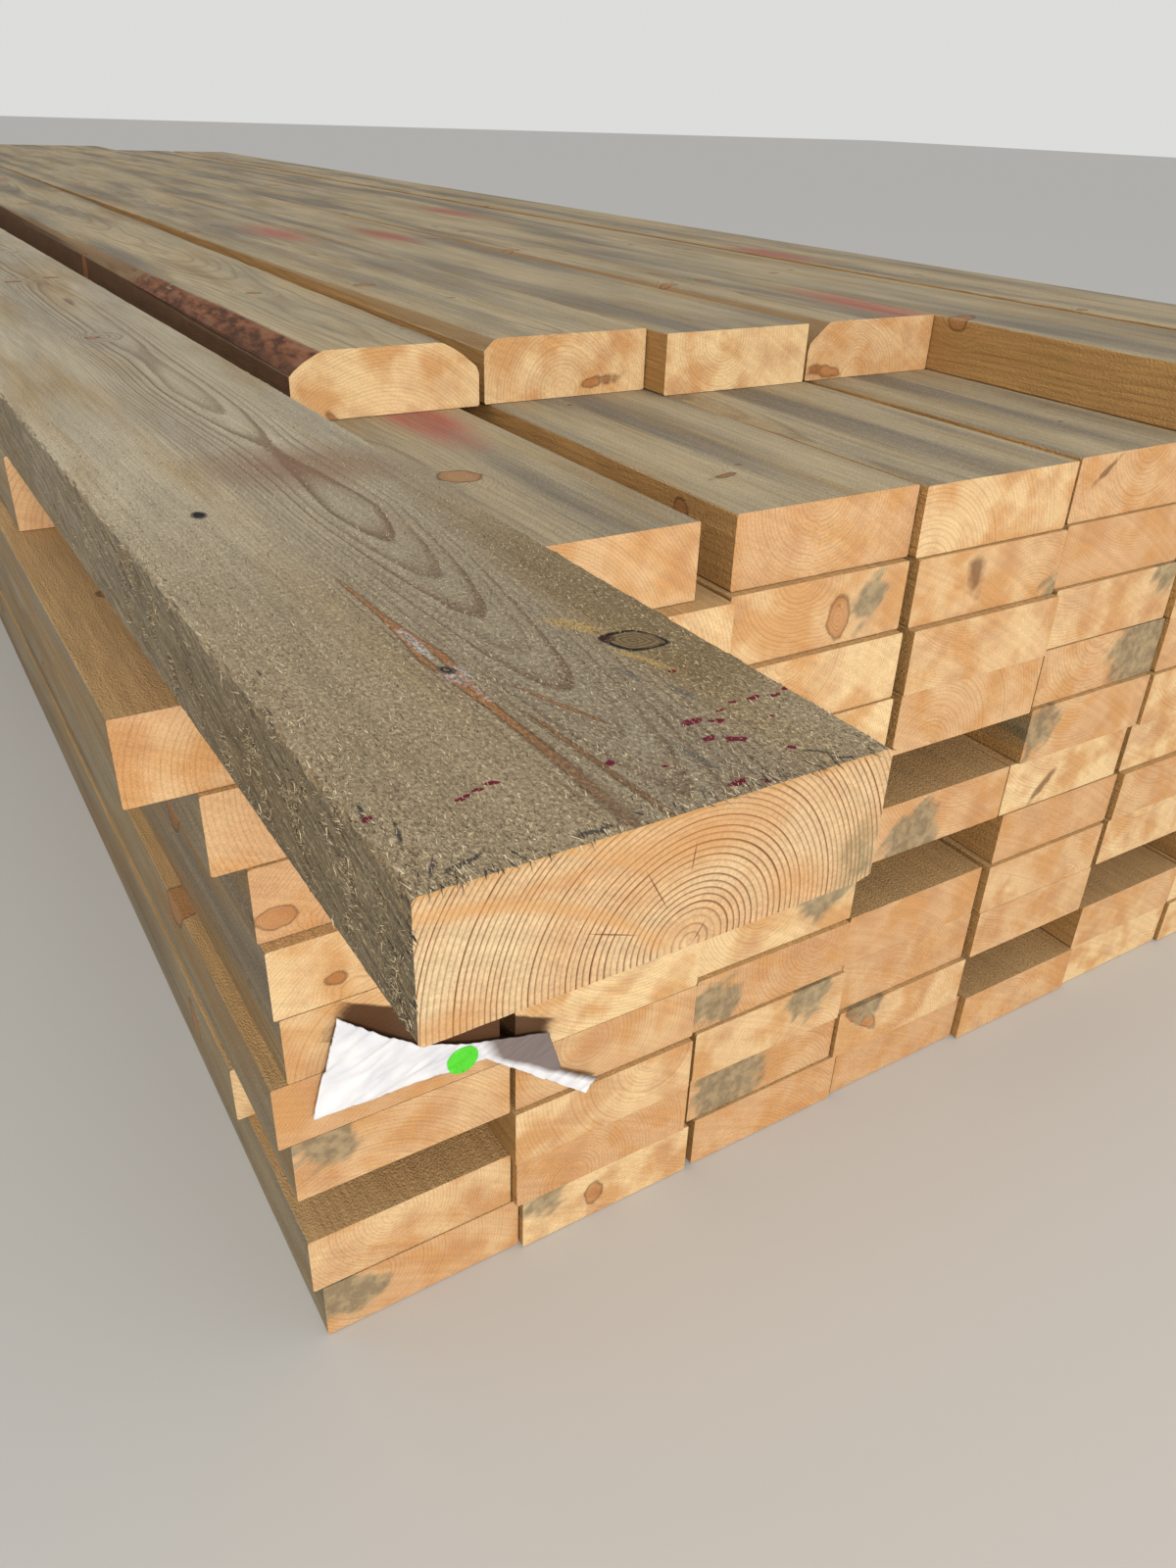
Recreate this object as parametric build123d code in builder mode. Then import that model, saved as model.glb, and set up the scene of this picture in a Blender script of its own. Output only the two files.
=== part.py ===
# A stack of rough-sawn softwood boards, laid flat in close layers straight on the ground.
# The top left board is drawn out towards the near end, and its four neighbours are pushed back.
# Millimetres, +Z up. X runs across the stack and Y along the boards, with the near ends at -Y.
# The origin is on the ground, under the middle of the stack.
import os
from collections import namedtuple
from random import Random

from build123d import *

# the boards and how they are stacked
board_length = 3600
board_width = 150
board_thickness = 49
columns = 7
layers = 12
column_gap = 4.5  # between neighbours, before they slide
least_gap = 1.0  # boards that slide stop this far from each other

# small unevenness of every board that isn't named below
side_unevenness = 1.8
end_unevenness = 4.0

# boards that lie visibly to the right (+) or left (-) of their place, by (layer, column) from the ground and the left
slid = {
    (1, 1): 12, (1, 2): 7, (1, 3): 11, (1, 4): 10, (1, 5): 7,
    (2, 1): 6, (2, 3): 4,
    (4, 1): 2, (4, 2): 1.5, (4, 4): -3, (4, 5): -3,
    (5, 1): -5.5,
    (6, 1): 5, (6, 5): -4,
    (7, 1): 2, (7, 5): 3,
    (8, 1): 1, (8, 5): 6.5,
    (9, 1): -17, (9, 5): 4,
    (10, 1): -52, (10, 3): -1, (10, 5): 3,
    (11, 1): -42, (11, 2): -20, (11, 3): 2.5, (11, 4): -12, (11, 5): 4,
    (12, 2): -8.5, (12, 3): -3, (12, 4): -13, (12, 5): -7, (12, 6): -13,
}

# how far the top boards are pushed back behind the stack's near face, and the board under the drawn-out one
top_left_pair_back = 323
top_right_pair_back = 297
pair_step = 2  # the right board of each pair lies this much further back
under_drawn_out_back = 312

# how deep the holes are that boards further down leave in the near face
hole_depth = 130
deep_hole_depth = 160
shallow_hole_depth = 95

# boards whose near end lies behind (+) or in front (-) of the stack's near face
set_back = {
    (3, 1): hole_depth, (3, 6): hole_depth, (2, 5): shallow_hole_depth, (5, 4): shallow_hole_depth,
    (7, 4): deep_hole_depth,
    (4, 1): -3, (5, 1): -3, (6, 1): -3, (5, 2): -3, (4, 2): -3, (3, 2): -7,
    (8, 1): 6, (9, 1): 8, (10, 1): 12, (11, 1): under_drawn_out_back,
    (10, 3): 6, (10, 4): 3, (11, 2): 11, (11, 3): 12, (11, 4): 6, (11, 5): 11,
    (10, 5): 8, (9, 5): 4.5, (8, 5): 3.5,
    (12, 2): top_left_pair_back, (12, 3): top_left_pair_back + pair_step,
    (12, 4): top_right_pair_back, (12, 5): top_right_pair_back + pair_step, (12, 6): 10,
}

# the board that is drawn out of the top layer, at its first place
drawn_out_place = (12, 1)
drawn_out = 306  # how far its end stands out in front of the stack
drawn_out_width = 152.7
drawn_out_thickness = 46.6
drawn_out_slid = -37.4
drawn_out_turn = 0.335  # degrees, its far end to the left
corner_chip = 8  # lost from its lower right corner, across its width
corner_chip_height = 2
corner_chip_length = 60

# Boards with the log's round left on an edge. At the near end the log's centre lies beside the board's
# middle and below its top face, and the saw left a flat that reaches so far from the centre line.
Log = namedtuple("Log", "side depth reach")
waned = {
    (12, 2): Log(side=-2.8, depth=103, reach=48),
    (12, 3): Log(side=20, depth=109, reach=85),
    (12, 5): Log(side=20, depth=109, reach=73),
}
log_taper = 0.008  # the log's radius grows by this share of the length

# the paper tag that hangs askew on the ends, and the round sticker on it
tag_thickness = 0.6
tag_top_left = (37, 285)  # from the stack's nominal left face, and above the ground
tag_bottom_left = (16, 217)
tag_bottom_middle = (132, 210)
tag_tail_bottom = (208, 144)
tag_tail_top = (218, 154)
tag_step_bottom = (188, 175)
tag_top_right = (179, 211)
tag_top_middle = (122, 228)
tag_top_dip = (85, 244)
sticker_centre = (115, 218)
sticker_radius = 11
sticker_thickness = 0.2

column_pitch = board_width + column_gap
stack_width = columns * board_width + (columns - 1) * column_gap
left_face = -stack_width / 2
near_face = -board_length / 2


def places(layer):
    """The near lower left corner of each board of a layer, by its column."""
    chance = Random(layer)
    found = {}
    free_from = None
    for column in range(1, columns + 1):
        across = chance.uniform(-side_unevenness, side_unevenness)
        along = chance.uniform(-end_unevenness, end_unevenness)
        x = left_face + (column - 1) * column_pitch + slid.get((layer, column), across)
        if free_from is not None:
            x = max(x, free_from)
        y = near_face + set_back.get((layer, column), along)
        found[column] = (x, y, (layer - 1) * board_thickness)
        free_from = x + board_width + least_gap
    return found


def sawn_board(width, thickness, log=None):
    """A board with its near lower left corner at the origin, or what its log leaves of one."""
    with BuildPart() as board:
        with BuildSketch(Plane.XZ):
            Rectangle(width, thickness, align=(Align.MIN, Align.MIN))
        extrude(amount=-board_length)
        if log:
            near_radius = (log.reach**2 + log.depth**2) ** 0.5
            with Locations((width / 2 + log.side, 0, thickness - log.depth)):
                Cone(
                    near_radius,
                    near_radius + log_taper * board_length,
                    board_length,
                    rotation=(-90, 0, 0),
                    align=(Align.CENTER, Align.CENTER, Align.MIN),
                    mode=Mode.INTERSECT,
                )
    return board.part


def board_layer(layer):
    """The boards of one layer, without the one that is drawn out."""
    with BuildPart() as boards:
        for column, place in places(layer).items():
            if (layer, column) != drawn_out_place:
                log = waned.get((layer, column))
                add(Location(place) * sawn_board(board_width, board_thickness, log))
    return boards.part


def drawn_out_board():
    """The board that stands out in front, turned a little, on the board under it."""
    with BuildPart() as board:
        add(sawn_board(drawn_out_width, drawn_out_thickness))
        with BuildSketch(Plane.XZ):
            with BuildLine():
                Polyline(
                    (drawn_out_width, 0),
                    (drawn_out_width, corner_chip_height),
                    (drawn_out_width - corner_chip, 0),
                    close=True,
                )
            make_face()
        extrude(amount=-corner_chip_length, mode=Mode.SUBTRACT)
    base = (drawn_out_place[0] - 1) * board_thickness
    corner = (left_face + drawn_out_slid, near_face - drawn_out, base)
    return Location(corner, (0, 0, drawn_out_turn)) * board.part


def tag_plane():
    """The plane of the ends that the tag lies on, seen from the near side, from the stack's left foot."""
    return Plane(origin=(left_face, near_face + set_back[(5, 1)], 0), x_dir=(1, 0, 0), z_dir=(0, -1, 0))


def paper_tag():
    with BuildPart() as tag:
        with BuildSketch(tag_plane()):
            with BuildLine():
                Polyline(
                    tag_top_left,
                    tag_bottom_left,
                    tag_bottom_middle,
                    tag_tail_bottom,
                    tag_tail_top,
                    tag_step_bottom,
                    tag_top_right,
                    tag_top_middle,
                    tag_top_dip,
                    close=True,
                )
            make_face()
        extrude(amount=tag_thickness)
    return tag.part


def tag_sticker():
    with BuildPart() as sticker:
        with BuildSketch(tag_plane().offset(tag_thickness)):
            with Locations(sticker_centre):
                Circle(sticker_radius)
        extrude(amount=sticker_thickness)
    return sticker.part


pieces = {f"boards_layer_{layer:02d}": board_layer(layer) for layer in range(1, layers + 1)}
pieces["drawn_out_board"] = drawn_out_board()
pieces["paper_tag"] = paper_tag()
pieces["tag_sticker"] = tag_sticker()

os.makedirs("parts", exist_ok=True)
for name, piece in pieces.items():
    piece.label = name
    export_step(piece, f"parts/{name}.step")
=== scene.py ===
import math
import random
from collections import namedtuple
from functools import partial

import bmesh
import bpy
from mathutils import Matrix, Vector


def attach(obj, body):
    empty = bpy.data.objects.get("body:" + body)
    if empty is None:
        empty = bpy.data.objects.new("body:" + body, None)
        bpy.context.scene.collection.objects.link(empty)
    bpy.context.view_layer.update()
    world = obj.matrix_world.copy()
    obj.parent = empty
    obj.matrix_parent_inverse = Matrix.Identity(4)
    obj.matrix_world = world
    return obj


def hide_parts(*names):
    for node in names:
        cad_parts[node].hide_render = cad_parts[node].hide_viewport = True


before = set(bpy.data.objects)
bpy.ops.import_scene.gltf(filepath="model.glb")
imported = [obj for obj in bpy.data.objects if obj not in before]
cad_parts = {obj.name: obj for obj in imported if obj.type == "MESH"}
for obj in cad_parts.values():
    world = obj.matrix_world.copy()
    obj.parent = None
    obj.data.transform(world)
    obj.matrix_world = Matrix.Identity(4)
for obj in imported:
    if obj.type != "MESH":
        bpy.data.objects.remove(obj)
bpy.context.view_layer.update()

MM = 0.001
LAYERS = 12
TOP = LAYERS
DRAWN_OUT = (TOP, 1)
ENDLESS = 1e6  # a half width in millimetres that runs on past everything
ALL = slice(None)

# Kinds of node: the type, the settings that make it this kind, the inputs that values in order fill, where
# those aren't its first, and the output that is used
Kind = namedtuple("Kind", "type settings inputs output", defaults=({}, None, 0))
ADD, SUBTRACT, MULTIPLY, DIVIDE, MULTIPLY_ADD, MINIMUM, MAXIMUM, ABSOLUTE = (
    Kind("ShaderNodeMath", {"operation": name})
    for name in ("ADD", "SUBTRACT", "MULTIPLY", "DIVIDE", "MULTIPLY_ADD", "MINIMUM", "MAXIMUM", "ABSOLUTE")
)
SIGN, FLOOR, FRACT, POWER, SINE, TANGENT, ARCTAN2, LESS_THAN, GREATER_THAN = (
    Kind("ShaderNodeMath", {"operation": name})
    for name in ("SIGN", "FLOOR", "FRACT", "POWER", "SINE", "TANGENT", "ARCTAN2", "LESS_THAN", "GREATER_THAN")
)
V_ADD, V_SUBTRACT, V_MULTIPLY, V_DIVIDE, V_MULTIPLY_ADD, V_ABSOLUTE, PROJECT, NORMALIZE = (
    Kind("ShaderNodeVectorMath", {"operation": name})
    for name in ("ADD", "SUBTRACT", "MULTIPLY", "DIVIDE", "MULTIPLY_ADD", "ABSOLUTE", "PROJECT", "NORMALIZE")
)
LENGTH = Kind("ShaderNodeVectorMath", {"operation": "LENGTH"}, output="Value")
SCALE = Kind("ShaderNodeVectorMath", {"operation": "SCALE"}, (0, "Scale"))
SPLIT, JOIN = Kind("ShaderNodeSeparateXYZ", output=ALL), Kind("ShaderNodeCombineXYZ")
RANGE = Kind("ShaderNodeMapRange")
SMOOTH_RANGE = Kind("ShaderNodeMapRange", {"interpolation_type": "SMOOTHSTEP"})
FADE = Kind("ShaderNodeMix", {}, (0, 2, 3))
BLEND = Kind("ShaderNodeMix", {"data_type": "RGBA"}, (0, 6, 7), 2)
TINT = Kind("ShaderNodeMix", {"data_type": "RGBA", "blend_type": "MULTIPLY"}, (0, 6, 7), 2)
LOCAL = Kind("ShaderNodeMapping", {"vector_type": "TEXTURE"})
ROTATE = Kind("ShaderNodeVectorRotate", {}, ("Vector", "Angle"))
NOISE = Kind("ShaderNodeTexNoise", {}, ("Vector", "Scale", "Detail", "Roughness"))
NOISE_1D = Kind("ShaderNodeTexNoise", {"noise_dimensions": "1D"}, ("W", "Scale", "Detail"))
CARRIED_VECTOR, CARRIED_NUMBER = (Kind("ShaderNodeAttribute", output=name) for name in ("Vector", "Fac"))
READ_VECTOR, READ_NUMBER = (
    Kind("GeometryNodeInputNamedAttribute", {"data_type": name}) for name in ("FLOAT_VECTOR", "FLOAT")
)
STORE_VECTOR, STORE_NUMBER = (
    Kind("GeometryNodeStoreNamedAttribute", {"data_type": name, "domain": "POINT"}, (0, 2, 3))
    for name in ("FLOAT_VECTOR", "FLOAT")
)


# Helpers

def add(tree, kind, *inputs, output=None, **settings):
    """Adds a node with its settings, links or sets its inputs, and returns an output.

    The inputs are in the kind's order or one dictionary by name. A colour is an sRGB hex code."""
    if isinstance(kind, str):
        kind = Kind(kind)
    node = tree.nodes.new(kind.type)
    for name, value in {**kind.settings, **settings}.items():
        setattr(node, name, value)
    by_name = len(inputs) == 1 and isinstance(inputs[0], dict)
    pairs = inputs[0].items() if by_name else zip(kind.inputs or range(len(inputs)), inputs)
    for key, value in pairs:
        socket = node.inputs[key]
        if isinstance(value, bpy.types.NodeSocket):
            tree.links.new(value, socket)
        elif value is not None:
            socket.default_value = colour(value) if socket.type == "RGBA" else value
    return node.outputs[kind.output if output is None else output]


def colour(code):
    """Linear RGBA from an sRGB hex code."""
    channels = [int(code[i : i + 2], 16) / 255 for i in (0, 2, 4)]
    return [c / 12.92 if c <= 0.04045 else ((c + 0.055) / 1.055) ** 2.4 for c in channels] + [1.0]


def link_object(name, data):
    """A new object of that mesh or other data, in the scene."""
    made = bpy.data.objects.new(name, data)
    bpy.context.scene.collection.objects.link(made)
    return made


def run_tree(name, mesh, tree, **values):
    """The plain mesh object that a Geometry Nodes tree makes of a mesh, with its named inputs set."""
    mesh.materials.clear()
    source = link_object(name + "_source", mesh)
    modifier = source.modifiers.new("nodes", "NODES")
    modifier.node_group = tree
    for item in tree.interface.items_tree:
        if item.in_out == "INPUT" and item.name in values:
            modifier[item.identifier] = values[item.name]
    bpy.context.view_layer.update()
    evaluated = source.evaluated_get(bpy.context.evaluated_depsgraph_get())
    made = link_object(name, bpy.data.meshes.new_from_object(evaluated))
    made.data.name = name
    bpy.data.objects.remove(source)
    return made


def new_tree(name, **inputs):
    """A Geometry Nodes tree with named inputs, and the sockets that give them."""
    tree = bpy.data.node_groups.new(name, "GeometryNodeTree")
    tree.interface.new_socket("Geometry", in_out="INPUT", socket_type="NodeSocketGeometry")
    tree.interface.new_socket("Geometry", in_out="OUTPUT", socket_type="NodeSocketGeometry")
    for name, (kind, value) in inputs.items():
        socket = tree.interface.new_socket(name, in_out="INPUT", socket_type="NodeSocket" + kind)
        if value is not None:
            socket.default_value = value
    group = tree.nodes.new("NodeGroupInput")
    return tree, {socket.name: socket for socket in group.outputs if socket.name}


# What the frame says of each board

def separate_boxes(node):
    """The lowest and highest corners of each separate solid of a CAD node, from left to right."""
    shape = bmesh.new()
    shape.from_mesh(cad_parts[node].data)
    bmesh.ops.remove_doubles(shape, verts=shape.verts, dist=0.01 * MM)
    left, boxes = set(shape.verts), []
    while left:
        found, edge = set(), [left.pop()]
        while edge:
            vertex = edge.pop()
            found.add(vertex)
            near = {e.other_vert(vertex) for e in vertex.link_edges} & left
            left -= near
            edge += near
        boxes.append([Vector(pick(v.co[i] for v in found) for i in range(3)) for pick in (min, max)])
    shape.free()
    return sorted(boxes, key=lambda box: box[0].x)


def drawn_out_lie():
    """Corner, size and turn of the board that is drawn out, from its CAD node."""
    points = [v.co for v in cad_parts["drawn_out_board"].data.vertices]
    corner = min(points, key=lambda p: (round(p.y, 5), p.z))
    far = min(points, key=lambda p: (round(p.x, 5), p.z))
    turn = math.atan2(corner.x - far.x, far.y - corner.y)
    turned = [Matrix.Rotation(-turn, 3, "Z") @ (p - corner) for p in points]
    return corner.copy(), Vector(max(p[i] for p in turned) for i in range(3)), turn


# How each board grew and wore, by (layer, column). Places on a near end are (across, up) in millimetres from
# the board's lower left corner, and places on a top are (across, along).
hearts_mm = {
    (12, 1): (83, 2), (12, 2): (72, -54), (12, 3): (68, 4), (12, 4): (58, 44), (12, 5): (60, -2),
    (12, 6): (90, 70), (11, 2): (40, -30), (11, 3): (66, 53), (11, 4): (10, -14), (11, 5): (80, 56),
    (10, 3): (56, 55), (10, 4): (120, -20), (8, 5): (70, 58), (4, 1): (40, -60),
}
end_knots_mm = {  # place, half width and height over width on the near end
    (10, 3): (92, 19, 10, 1.5), (8, 1): (12, 14, 13, 0.6), (7, 1): (39, 17, 6, 0.7), (1, 2): (62, 24, 8, 1.5),
}
end_cracks_mm = {  # middle, half length, half width and degrees of a dark crack on the near end
    (11, 5): (32, 36, 24, 3.2, 38), (6, 5): (48, 16, 25, 5.0, 47), (10, 4): (60, 28, 19, 10, -74),
}
end_stains_mm = {  # place and radius of a blue stain on the near end
    (10, 3): (118, 27, 16), (10, 4): (146, 4, 14), (8, 5): (125, 26, 42), (6, 4): (50, 10, 34),
    (7, 5): (14, 30, 26), (4, 3): (20, 22, 26), (3, 3): (112, 40, 24), (2, 3): (40, 30, 40),
    (9, 5): (140, 40, 16), (4, 1): (20, 40, 24), (3, 1): (80, 8, 30), (1, 1): (14, 30, 26),
    (1, 2): (20, 46, 18), (5, 3): (118, 36, 26), (2, 4): (30, 46, 22), (8, 2): (30, 20, 30),
    (5, 4): (20, 20, 30),
}
rubs_mm = {  # place and length of a red rub on the top
    (12, 3): (112, 800, 150), (12, 4): (88, 780, 120), (12, 5): (126, 60, 170), (12, 7): (20, 760, 120),
    (11, 2): (108, 300, 110), (12, 6): (40, 1400, 160), (12, 2): (60, 1900, 120),
}
barks_mm = {(12, 2): 400}  # how far bark reaches along the log's round from the near end
weathered_layers = (TOP, TOP - 1)
open_weather, covered_weather = 1.0, 0.12
rings_mm = {(12, 1): 2.15}  # width of a year's ring 20 mm from the heart
tones = {(12, 2): 0.1}  # of the fresh end, from cream at 0 to orange at 1


def grown(place):
    """The attributes of one board's wood, by name."""
    layer, column = place
    chance = random.Random(100 * layer + column)
    level = chance.choice([chance.uniform(-14, 12), chance.uniform(36, 62), chance.choice([-60, 105])])
    heart = hearts_mm.get(place, (75 + chance.uniform(-45, 45), level))
    lean = [chance.uniform(-0.012, 0.012) for _ in range(2)]
    off_end, off_top = -500, -5000  # places that no mark on an end or a top is seen from
    knot = end_knots_mm.get(place, (0, off_end, 1, 1))
    crack = end_cracks_mm.get(place, (0, off_end, 1, 1, 0))
    return {
        "board_seed": chance.uniform(0, 60),
        "board_heart": (heart[0], 0, heart[1]),
        "board_lean": (lean[0], 0, lean[1]),
        "board_ring": rings_mm.get(place, chance.uniform(2.4, 4.0)),
        "board_outer": 1.0 if column == 1 else 0.0,
        "board_tone": tones.get(place, chance.random()),
        "board_weather": open_weather if layer in weathered_layers else covered_weather,
        "board_knot": knot[:3],
        "board_knot_tall": knot[3],
        "board_stain": end_stains_mm.get(place, (0, off_end, 1)),
        "board_crack": (crack[0], crack[4], crack[1]),
        "board_crack_size": (crack[2], 1, crack[3]),
        "board_rub": rubs_mm.get(place, (0, off_top, 1)),
        "board_bark": barks_mm.get(place, off_end),
    }


# Logs of the boards with the round left on an edge, as the frame's solids have it, at the near end:
# the log's centre beside the board's middle and below its top, and the reach of the flat that the saw left
logs_mm = {(12, 2): (-2.8, 103, 48), (12, 3): (20, 109, 85), (12, 5): (20, 109, 73)}
log_taper = 0.008
no_log = 50.0  # a radius in metres that touches nothing


def board_points(places):
    """A mesh of one vertex a board, which carries everything that the board's mesh and wood are made from."""
    mesh = bpy.data.meshes.new("board_points")
    mesh.from_pydata([lie["corner"] for lie in places.values()], [], [])
    rows = []
    for place, lie in places.items():
        row = {"board_corner": lie["corner"], "board_size": lie["size"], "board_turn": lie["turn"]}
        row.update(grown(place))
        width, thickness = lie["size"].x, lie["size"].z
        row["board_log"] = (width / 2, 0, no_log)
        if place in logs_mm:
            side, depth, reach = (value * MM for value in logs_mm[place])
            row["board_log"] = (width / 2 + side, thickness - depth, math.hypot(reach, depth))
        rows.append(row)
    for name, first in rows[0].items():
        single = isinstance(first, (int, float))
        attribute = mesh.attributes.new(name, "FLOAT" if single else "FLOAT_VECTOR", "POINT")
        for i, row in enumerate(rows):
            if single:
                attribute.data[i].value = row[name]
            else:
                attribute.data[i].vector = row[name]
    return mesh


# The tree that makes boards

def sawn_boards_tree():
    """Boards with worn arrises, uneven sawn faces and the log's round, one at each point."""
    tree, given = new_tree(
        "sawn_boards",
        **{
            "Cells Across": ("Int", 12),
            "Cells Up": ("Int", 5),
            "Near Sections": ("Int", 24),
            "Far Sections": ("Int", 30),
            "Near Length": ("Float", 0.6),
            "Arris": ("Float", 1.4 * MM),
            "Unevenness": ("Float", 0.5 * MM),
            "Roughness": ("Float", 0.0),
            "Chip Width": ("Float", 0.0),
            "Chip Height": ("Float", 0.0),
            "Chip Length": ("Float", 1 * MM),
            "Material": ("Material", None),
        },
    )
    new = partial(add, tree)

    # one block of cells, from -1 to 1 across and up and from -0.5 to 0.5 along
    across_points = new(ADD, given["Cells Across"], 1)
    up_points = new(ADD, given["Cells Up"], 1)
    sections = new(ADD, given["Near Sections"], given["Far Sections"])
    along_points = new(ADD, sections, 1)
    block = new("GeometryNodeMeshCube", (2, 1, 2), across_points, along_points, up_points)
    place = new("GeometryNodeInputPosition")
    block = new(STORE_VECTOR, block, "unit", place)
    boards = new("GeometryNodeInstanceOnPoints", {"Points": given["Geometry"], "Instance": block})
    boards = new("GeometryNodeRealizeInstances", boards)

    unit = new(READ_VECTOR, "unit")
    unit_x, unit_y, unit_z = new(SPLIT, unit)
    size = new(READ_VECTOR, "board_size")
    width, length, thickness = new(SPLIT, size)
    seed = new(READ_NUMBER, "board_seed")

    # along: close sections at the near end, wide ones further on
    share = new(DIVIDE, given["Near Sections"], sections)
    far_length = new(SUBTRACT, length, given["Near Length"])
    start = new(ADD, unit_y, 0.5)
    near_part = new(RANGE, start, 0, share, 0, given["Near Length"])
    far_part = new(RANGE, start, share, 1, 0, far_length)
    along = new(ADD, near_part, far_part)

    # across and up: even cells, with a narrow one at each arris
    wear_place = new(MULTIPLY_ADD, along, 70, seed)
    wear = new(RANGE, new(NOISE_1D, wear_place, 1, 3), 0.3, 0.7, 0.5, 1.6)
    spans, sides, at_face = [], [], []
    for unit_part, span, cells in ((unit_x, width, "Cells Across"), (unit_z, thickness, "Cells Up")):
        side = new(SIGN, unit_part)
        out = new(ABSOLUTE, unit_part)
        last = new(DIVIDE, 2, given[cells])
        inner = new(SUBTRACT, 1, last)
        half = new(MULTIPLY, span, 0.5)
        flat_half = new(SUBTRACT, half, given["Arris"])
        flat_part = new(RANGE, out, 0, inner, 0, flat_half)
        arris_part = new(RANGE, out, inner, 1, 0, given["Arris"])
        spans.append((half, new(ADD, flat_part, arris_part)))
        sides.append(side)
        at_face.append(new(GREATER_THAN, out, 0.9999))
    at_arris = new(MULTIPLY, *at_face)
    arc_share = 1 - math.sqrt(0.5)
    cut = new(MULTIPLY, new(MULTIPLY, new(MULTIPLY, given["Arris"], arc_share), wear), at_arris)

    # sawn faces give way inwards only, so that no board grows into the next
    flat_place = new(
        JOIN,
        new(MULTIPLY, unit_x, 0.075),
        along,
        new(MULTIPLY, unit_z, 0.025),
    )
    seeded = new(V_ADD, flat_place, new(JOIN, seed, seed, seed))
    broad = new(MULTIPLY, new(NOISE, seeded, 14, 2), given["Unevenness"])
    rough = new(MULTIPLY, new(NOISE, seeded, 330, 2, 0.6), given["Roughness"])
    give = new(ADD, broad, rough)
    moved = []
    for (half, out), side, face in zip(spans, sides, at_face):
        inwards = new(ADD, new(MULTIPLY, give, face), cut)
        kept = new(SUBTRACT, out, inwards)
        moved.append(new(MULTIPLY_ADD, kept, side, half))
    across, up = moved

    # a chip off the lower right corner of the near end
    chip_start = new(SUBTRACT, width, given["Chip Width"])
    chip_lift = new(RANGE, across, chip_start, width, 0, given["Chip Height"])
    chip_here = new(LESS_THAN, along, given["Chip Length"])
    chip_lift = new(MULTIPLY, chip_lift, chip_here)
    up = new(MAXIMUM, up, chip_lift)

    # the log's round
    log = new(READ_VECTOR, "board_log")
    log_x, log_z, log_radius = new(SPLIT, log)
    radius = new(MULTIPLY_ADD, along, log_taper, log_radius)
    bumps = new(NOISE, seeded, 22, 3)
    radius = new(ADD, new(RANGE, bumps, 0.2, 0.8, -1.6 * MM, 0), radius)
    from_x = new(SUBTRACT, across, log_x)
    from_z = new(SUBTRACT, up, log_z)
    distance = new(LENGTH, new(JOIN, from_x, 0, from_z))
    pull = new(MINIMUM, 1, new(DIVIDE, radius, distance))
    across = new(MULTIPLY_ADD, from_x, pull, log_x)
    up = new(MULTIPLY_ADD, from_z, pull, log_z)
    beyond = new(MULTIPLY, new(SUBTRACT, distance, radius), 1 / MM)

    # into place
    local = new(JOIN, across, along, up)
    turn = new(READ_NUMBER, "board_turn")
    turned = new(ROTATE, local, turn, rotation_type="Z_AXIS")
    corner = new(READ_VECTOR, "board_corner")
    final = new(V_ADD, turned, corner)
    local_mm = new(SCALE, local, 1 / MM)
    made = new(STORE_VECTOR, boards, "board_point", local_mm)
    made = new(STORE_VECTOR, new(STORE_NUMBER, made, "beyond_log", beyond), "final", final)
    kept_final = new(READ_VECTOR, "final")
    made = new("GeometryNodeSetPosition", made, None, kept_final)
    for spare in ("final", "unit", "board_corner", "board_size", "board_log", "board_turn"):
        made = new("GeometryNodeRemoveAttribute", {"Geometry": made, "Name": spare})
    sharp = new(GREATER_THAN, new("GeometryNodeInputMeshEdgeAngle"), math.radians(18))
    made = new("GeometryNodeSetShadeSmooth", made, None, True, domain="FACE")
    smooth = new(SUBTRACT, 1, sharp)
    made = new("GeometryNodeSetShadeSmooth", made, None, smooth, domain="EDGE")
    made = new("GeometryNodeSetMaterial", made, None, given["Material"])
    new("NodeGroupOutput", made, output=ALL)
    return tree


# resin, the two knots and a hole, where no fibres stand: middle and half widths
bare_spots_mm = [(63.5, 40, 2.6, 50), (62.5, 118, 4.5, 30), (129, 98, 9.5, 9), (38, 300, 3.5, 5.5)]


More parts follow.
